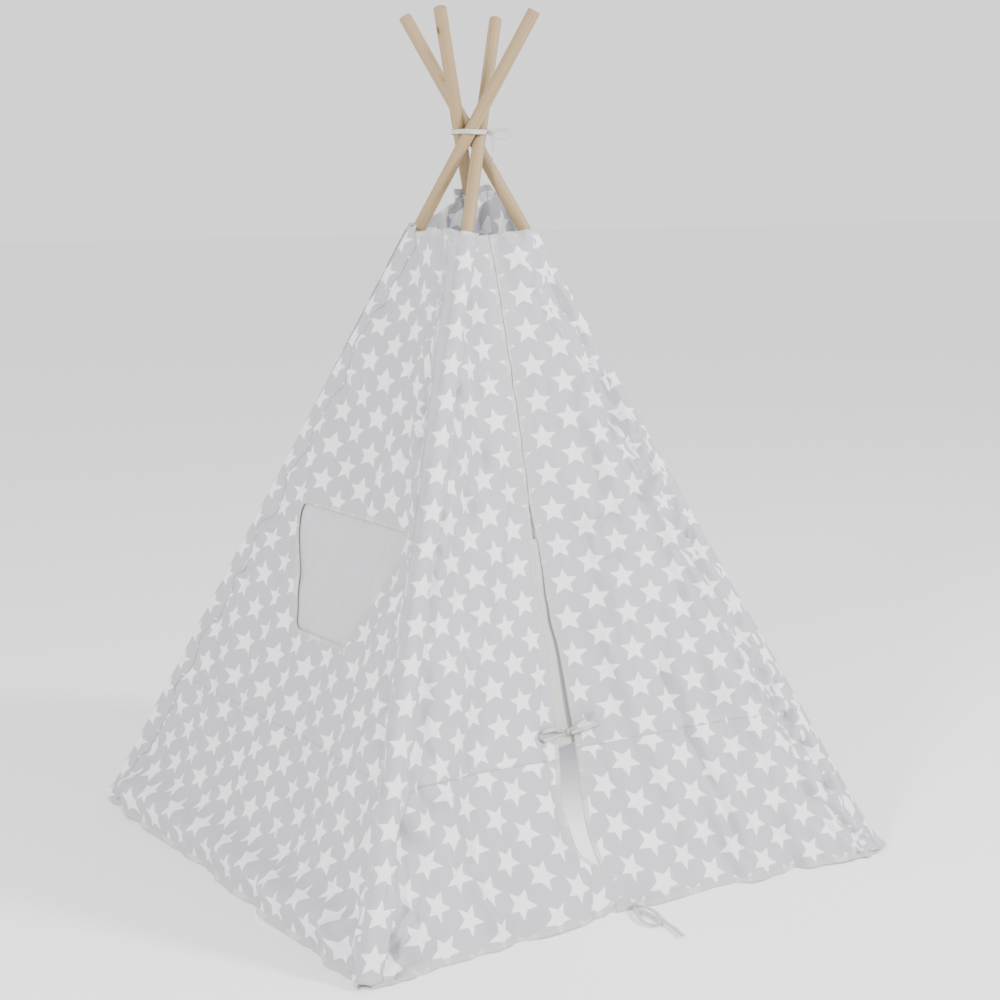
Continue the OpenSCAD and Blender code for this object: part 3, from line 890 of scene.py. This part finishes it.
def door_half(k, upper, material):
    """One half of the door face above or below the cross seam."""
    rows, cols = (200, 112) if upper else (76, 112)
    low, high = (SEAM, COVER_TOP) if upper else (HEM, SEAM)
    drop = seam_drop(k, np.linspace(0, 1, cols)[None, :])
    if k == 0 and not upper:
        low = HEM + HEM_LIFT * ease(np.linspace(0, 1, cols)[None, :], 0.90, 0.97)
    up_share = np.linspace(0, 1, rows)[:, None]
    s = low + (high - low) * up_share - drop * ((1 - up_share) if upper else up_share)
    edge = smooth(RIGHT_EDGE if k else LEFT_EDGE, s)
    share = np.linspace(0, 1, cols)[None, :] * edge
    points, across, up = door_surface(k, s, share)
    from_edge = (edge - share) * half_width(k, s)
    from_edge = np.where(s > SLIT_TOP, from_edge + 0.0035, from_edge + 0.001)
    trim = edge_gap(from_edge, ((high - s) if upper else (s - low)) * NEAR[1])
    shift = (0.010, 0.018) if k else (-0.006, 0.046)
    uv = np.stack([across + shift[0], (up if upper else -up) + shift[1]], -1)
    side = ("left", "right")[k]
    name = f"door_{side}_{'upper' if upper else 'lower'}_cloth"
    piece = shell(name, points, uv, trim, material, door_out(k))
    nodes = ("door_panel", "door_flap") if upper else ("door_band", "flap_band")
    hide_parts(*[f"{node}_{side}" for node in nodes])
    head, end = slit_head(k), fold_foot(k)
    along = unit(end - head)
    over = unit(np.cross(door_out(k), along)) * (1 - 2 * k)
    if over[0] * (1 - 2 * k) < 0:
        over = -over
    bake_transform(piece)
    return piece


def underlap(material):
    """The plain facing behind the left flap, seen in the slit above the tie."""
    rows, cols = 60, 16
    s = np.linspace(0.285, 0.70, rows)[:, None] * np.ones((1, cols))
    left = smooth(LEFT_EDGE, s) - 0.03
    share = left + (1.13 - left) * np.linspace(0, 1, cols)[None, :]
    base = door_point(0, s, share)
    depth = middle_wave(s) - 0.0030 - 0.004 * ease(share, 1.0, 1.1)
    points = base + depth[..., None] * DOOR_MEAN
    flat = np.stack([share * 0.4, s], -1)
    piece = shell("door_underlap_cloth", points, flat, np.full(s.shape, 0.03), material, door_out(0))
    take_place(piece, "door_underlap", "door_flap_left")
    return piece


# ---- the corner sleeves ----
SLEEVE_TOPS = {
    FRONT: COVER_TOP + 0.005, RIGHT: COVER_TOP - 0.004, BACK: COVER_PEAK + 0.004, LEFT: COVER_TOP + 0.014
}
# How far a wing's outer and inner layers stand off the wall, and the tunnel's radii outside and inside
LIFT, UNDER_LIFT = 0.0013, 0.0004
OUTER, INNER = COVER_GAP + LIFT, 0.0130
RUCHE = {FRONT: 0.0024, RIGHT: 0.0014, BACK: 0.0014, LEFT: 0.0012}
CORNER_FLARE = {FRONT: 0.007, RIGHT: 0.014, BACK: 0.006, LEFT: 0.006}


def beside_pole(face, far_edge, s, distance):
    """Points of a finished face at a distance in from its near or far pole seam."""
    if face == FRONT:
        half = 1 if far_edge else 0
        return door_surface(half, s, distance / half_width(half, s))[0]
    share = distance / (WALL_WIDTH + (FAR[0] - NEAR[0]) * s)
    return wall_surface(face, s, 1 - share if far_edge else share)[0]


def face_out(face, far_edge):
    if face == FRONT:
        return door_out(1 if far_edge else 0)
    return wall_axes(face)[2]


def across_pole(k, way):
    return unit(way - (way @ rise(k)) * rise(k))


def sleeve(k, material):
    """The tunnel of cloth round pole k, with a wing sewn to each wall, down to its closed pocket."""
    before = (k + 3) % 4
    out_a, out_b = across_pole(k, face_out(before, True)), across_pole(k, face_out(k, False))
    turn = math.acos(float(np.clip(out_a @ out_b, -1, 1)))
    hand = 1 if float(np.cross(out_a, out_b) @ rise(k)) > 0 else -1
    tip = np.array([-0.003, -0.003, -0.0022, -0.001])
    s = np.concatenate([tip, np.linspace(0.004, SLEEVE_TOPS[k], 330)])
    axis = foot(k) + np.multiply.outer(s, rise(k))
    seed = 300 + 20 * k
    arms = np.linspace(0, 1, 12)[1:]
    columns = []

    def add_wing(face, far_edge, width, lift, shares, side):
        out = face_out(face, far_edge)
        for share in shares:
            edge = width + 0.0024 * noise(s, 0 * s, 0.022, 1.0, seed + side)
            distance = share * edge
            fold = noise(s + 0.5 * distance, distance, 0.016, 0.03, seed + 3 + side)
            fold = fold + 0.7 * noise(s, distance, 0.045, 0.05, seed + 5 + side)
            ruche = np.maximum(fold, -0.6) * RUCHE[k] / LIFT * math.sin(math.pi * share) ** 0.5
            stand_off = np.maximum(lift * (1 - 0.55 * share) * (1 + ruche), 0.0002)
            columns.append(beside_pole(face, far_edge, s, distance) + np.multiply.outer(stand_off, out))

    def add_tube(start, sweep, radius, count, full):
        for share in np.linspace(0, 1, count + 2)[1:-1]:
            angle = start + share * sweep
            way = math.cos(angle) * out_a + math.sin(angle) * hand * np.cross(rise(k), out_a)
            fold = noise(s, 0 * s + share, 0.016, 0.35, seed + 9)
            fold = fold + 0.7 * noise(s, 0 * s + share, 0.05, 0.5, seed + 10)
            grow = full * RUCHE[k] * 0.55 * np.maximum(fold + 0.3, 0)
            columns.append(axis + np.multiply.outer(radius + grow, way))

    wing_a, wing_b = WINGS[k]
    add_wing(before, True, wing_a, LIFT, arms[::-1], 1)
    add_tube(0.0, turn, OUTER, 16, 1)
    add_wing(k, False, wing_b, LIFT, arms, 2)
    add_wing(k, False, wing_b, UNDER_LIFT, arms[::-2] * 0.97, 2)
    add_tube(turn, 2 * math.pi - turn, INNER, 16, 0)
    add_wing(before, True, wing_a, UNDER_LIFT, arms[::2] * 0.97, 1)
    points = np.stack(columns, 1)
    flare = CORNER_FLARE[k] * np.exp(-np.maximum(s, 0) / 0.016)
    from_axis = np.linalg.norm(points[4] - axis[4], axis=-1)
    near_pole = np.exp(-((np.maximum(from_axis - OUTER, 0) / 0.012) ** 2))
    points = points + (flare[:, None] * near_pole)[..., None] * outward(k)
    closing = np.interp(np.arange(len(s)), [0, 1, 2, 3, 4], [0.0, 0.55, 0.9, 1.0, 1.0])[:, None, None]
    wide = from_axis[None, :, None] > OUTER + 0.012
    points = axis[:, None] + (points - axis[:, None]) * np.where(wide, 1.0, closing)
    points[..., 2] = np.maximum(points[..., 2], 0.0006)
    steps = np.linalg.norm(np.diff(points[100], axis=0), axis=1)
    across = np.concatenate([[0], np.cumsum(steps)])
    trim = (SLEEVE_TOPS[k] - s)[:, None] * np.ones((1, len(across)))
    uv = np.stack(np.broadcast_arrays(across[None, :] + 0.017 * k, s[:, None] + 0.023 * k), -1)
    piece = shell(
        f"sleeve_{CORNERS[k]}_cloth", points, uv, trim, material, outward(k), thickness=0.0005, wrap=True
    )
    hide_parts(f"sleeve_{CORNERS[k]}", f"pocket_{CORNERS[k]}")
    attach(piece, "front_frame" if k in (FRONT, RIGHT) else "back_frame")
    return piece


# ---- ties ----
TAPE_WIDTH = 0.008
CROSSING_TIE_Z = 1.351
CROSSING_KNOT = [0.0298, -0.027, 1.349]
CROSSING_LOOP = [
    [0.035, -0.031, 1.352], [0.042, -0.035, 1.354], [0.053, -0.041, 1.354], [0.061, -0.046, 1.351],
    [0.064, -0.048, 1.347], [0.061, -0.047, 1.343], [0.053, -0.043, 1.340], [0.042, -0.036, 1.341],
    [0.034, -0.031, 1.345]
]
CROSSING_TAIL = [
    [0.031, -0.029, 1.343], [0.032, -0.031, 1.333], [0.033, -0.033, 1.322], [0.033, -0.033, 1.309],
    [0.032, -0.032, 1.294]
]
UPPER_KNOT = [-0.014, -0.350, 0.282]
UPPER_LOOP = [
    [-0.021, -0.350, 0.284], [-0.038, -0.350, 0.289], [-0.058, -0.356, 0.292], [-0.075, -0.361, 0.291],
    [-0.082, -0.364, 0.285], [-0.074, -0.365, 0.278], [-0.057, -0.360, 0.277], [-0.037, -0.355, 0.278],
    [-0.021, -0.353, 0.279]
]
UPPER_LONG = [
    [-0.007, -0.349, 0.284], [0.003, -0.349, 0.289], [0.015, -0.349, 0.296], [0.028, -0.350, 0.302],
    [0.041, -0.350, 0.308]
]
UPPER_SHORT = [
    [-0.007, -0.352, 0.279], [0.010, -0.353, 0.281], [0.022, -0.353, 0.282], [0.034, -0.355, 0.285],
    [0.048, -0.359, 0.289]
]
LOWER_KNOT = [0.007, -0.534, 0.008]
LOWER_LOOP = [
    [0.002, -0.540, 0.008], [-0.006, -0.556, 0.007], [-0.012, -0.571, 0.006], [-0.016, -0.587, 0.005],
    [-0.015, -0.603, 0.005], [-0.007, -0.613, 0.005], [0.003, -0.610, 0.005], [0.012, -0.595, 0.005],
    [0.013, -0.579, 0.005], [0.011, -0.562, 0.006], [0.009, -0.543, 0.008]
]
LOWER_TAIL = [
    [0.014, -0.537, 0.009], [0.020, -0.552, 0.009], [0.023, -0.571, 0.007], [0.020, -0.589, 0.005],
    [0.016, -0.607, 0.005], [0.013, -0.626, 0.005], [0.012, -0.641, 0.005], [0.008, -0.658, 0.005],
    [0.005, -0.676, 0.005]
]


def tie_end(node, route, body, face, material, twist):
    name = node.removesuffix("_end") + "_tape"
    piece, line = tape(name, route, face, TAPE_WIDTH, material, twist=twist)
    take_place(piece, node, body)


def tie_knot(node, place, size, body, axis, material):
    piece = knot(node + "_tape", place, size, axis, material)
    take_place(piece, node, body)


def crossing_band(material):
    """Tape wound flat round the four poles where they cross."""
    s = (CROSSING_TIE_Z - FOOT_LIFT) / math.cos(POLE_LEAN)
    centres = np.array([(foot(k) + s * rise(k))[:2] for k in range(4)])
    radius = POLE_RADIUS / math.cos(POLE_LEAN) ** 0.5 + 0.0012
    turn = np.linspace(0, 2 * math.pi, 96, endpoint=False)
    ways = np.stack([np.cos(turn), np.sin(turn)], -1)
    ahead = np.stack([-np.sin(turn), np.cos(turn)], -1)
    reach = np.max(ways @ centres.T, axis=1) + radius
    slope = (np.roll(reach, -1) - np.roll(reach, 1)) / (turn[2] - turn[0])
    outline = ways * reach[:, None] + ahead * slope[:, None]
    height = CROSSING_TIE_Z + 0.0006 * np.sin(2 * turn + 0.6)
    line = curve_through(np.concatenate([outline, height[:, None]], 1)[::3], 6, closed=True)
    out = np.concatenate([unit(line[:, :2]), np.zeros((len(line), 1))], 1)
    heights = np.array([-0.5, -0.3, 0.0, 0.3, 0.5]) * 0.009
    swell = np.array([0.0, 0.0005, 0.0002, 0.0005, 0.0])
    rumple = 0.0004 * np.sin(9 * np.linspace(0, 2 * math.pi, len(line), endpoint=False))
    stand_off = swell[:, None] + rumple[None, :] + 0.0006
    points = line[None] + heights[:, None, None] * UP + stand_off[..., None] * out[None]
    flat = np.stack(np.broadcast_arrays(heights[:, None], np.linspace(0, 0.2, len(line))[None, :]), -1)
    trim = np.full(points.shape[:2], 0.1)
    piece = shell("crossing_tie_tape", points, flat, trim, material, out[None], 0.0012, wrap=True)
    take_place(piece, "crossing_tie_band", "back_frame")


def make_ties(material):
    """Each tie's knot, and the ends that leave it: route, body, face, far end, twist and lay."""
    door = tuple(unit(door_out(0) + door_out(1)))
    crossing = tuple(unit(np.array([-0.3, -1.0, 0.1])))
    ties = [
        ("crossing_tie_knot", CROSSING_KNOT, (0.011, 0.010, 0.010), "back_frame", crossing, [
            ("crossing_tie_loop", CROSSING_LOOP, "back_frame", crossing, "object", 0.0, "hanging"),
            ("crossing_tie_tail", CROSSING_TAIL, "back_frame", crossing, "bare", 0.7, "hanging"),
        ]),
        ("upper_tie_knot", UPPER_KNOT, (0.011, 0.010, 0.009), "door_flap_left", door, [
            ("upper_tie_loop", UPPER_LOOP, "door_flap_left", door, "object", 0.0, "hanging"),
            ("upper_tie_long_end", UPPER_LONG, "door_flap_right", door, "bare", 0.9, "hanging"),
            ("upper_tie_short_end", UPPER_SHORT, "door_flap_right", door, "bare", -0.8, "hanging"),
        ]),
        ("lower_tie_knot", LOWER_KNOT, (0.012, 0.011, 0.010), "door_flap_right", door, [
            ("lower_tie_loop", LOWER_LOOP, "door_flap_right", tuple(UP), "object", 0.0, "loose"),
            ("lower_tie_tail", LOWER_TAIL, "door_flap_right", tuple(UP), "bare", 0.0, "loose"),
        ]),
    ]
    for node, place, size, knot_body, axis, ends in ties:
        tie_knot(node, place, size, knot_body, axis, material)
        for end, route, body, face, far_end, twist, lay in ends:
            tie_end(end, route, body, face, material, twist)


def make_walls(star_cloth, lining):
    window = window_wall(star_cloth)
    band = wall_sheet(LEFT, False, "window_wall_band_cloth", "left_band", star_cloth)
    right = wall_sheet(RIGHT, True, "right_wall_cloth", "right_wall", star_cloth)
    right_low = wall_sheet(RIGHT, False, "right_wall_band_cloth", "right_band", star_cloth)
    back = wall_sheet(BACK, True, "back_wall_cloth", "back_wall", star_cloth)
    back_low = wall_sheet(BACK, False, "back_wall_band_cloth", "back_band", star_cloth)
    for piece in (window, band, right, right_low):
        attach(piece, "side_walls")
        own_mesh(piece)
    for piece in (back, back_low):
        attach(piece, "back_frame")
    curtain_piece = curtain(lining)
    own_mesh(curtain_piece)


# Lamps: name, place and width in metres, and power in watts
LAMPS = [("key", (3.0, -3.6, 3.0), 0.8, 330), ("left", (-4.0, -2.2, 2.8), 0.8, 210)]
INSIDE_PLACE, INSIDE_SIZE, INSIDE_POWER = (0, -0.15, 0.32), 0.12, 9
SKY_STRENGTH = 1.45


def make_stage():
    bpy.ops.mesh.primitive_plane_add(size=80, location=(0, 0, 0))
    floor = bpy.context.object
    floor.name = "floor"
    material = bpy.data.materials.new("studio_white")
    material.use_nodes = True
    surface = material.node_tree.nodes["Principled BSDF"]
    surface.inputs["Base Color"].default_value = (0.93, 0.93, 0.93, 1)
    surface.inputs["Roughness"].default_value = 0.9
    floor.data.materials.append(material)
    world = bpy.data.worlds.new("studio")
    world.use_nodes = True
    world.node_tree.nodes["Background"].inputs[0].default_value = (1, 1, 1, 1)
    world.node_tree.nodes["Background"].inputs[1].default_value = SKY_STRENGTH
    bpy.context.scene.world = world
    for name, place, size, power in LAMPS:
        data = bpy.data.lights.new(name, "AREA")
        data.shape = "DISK"
        data.size, data.energy = size, power
        lamp = bpy.data.objects.new(name, data)
        lamp.location = place
        aim = Vector((0, 0, 0.6)) - Vector(place)
        lamp.rotation_euler = aim.to_track_quat("-Z", "Y").to_euler()
        bpy.context.scene.collection.objects.link(lamp)
    # A weak lamp inside the tent stands for the daylight that comes through thin cotton
    data = bpy.data.lights.new("inside", "POINT")
    data.shadow_soft_size, data.energy = INSIDE_SIZE, INSIDE_POWER
    lamp = bpy.data.objects.new("inside", data)
    lamp.location = INSIDE_PLACE
    lamp.visible_camera = False
    bpy.context.scene.collection.objects.link(lamp)


def finish_frame():
    """Better materials for the CAD pieces that stay: the poles and the pins inside them."""
    steel = steel_material("pin_steel")
    for k, corner in enumerate(CORNERS):
        wood = wood_material(f"pine_{corner}", k)
        for part in ("lower", "upper"):
            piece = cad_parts[f"pole_{corner}_{part}"]
            piece.data.materials.clear()
            piece.data.materials.append(wood)
        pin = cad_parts[f"dowel_{corner}"]
        pin.data.materials.clear()
        pin.data.materials.append(steel)


make_camera()
tape_cloth = tape_material("woven_tape")
make_ties(tape_cloth)
crossing_band(tape_cloth)
star_cloth = cotton_material("star_cotton")
lining = cotton_material("plain_lining", printed=False, colour=(0.50, 0.495, 0.525, 1))
facing = cotton_material("door_facing", printed=False, colour=(0.47, 0.47, 0.45, 1))
make_walls(star_cloth, lining)
for half in (0, 1):
    for above in (True, False):
        door_half(half, above, star_cloth)
underlap(facing)
for corner in range(4):
    sleeve(corner, star_cloth)
finish_frame()
make_stage()
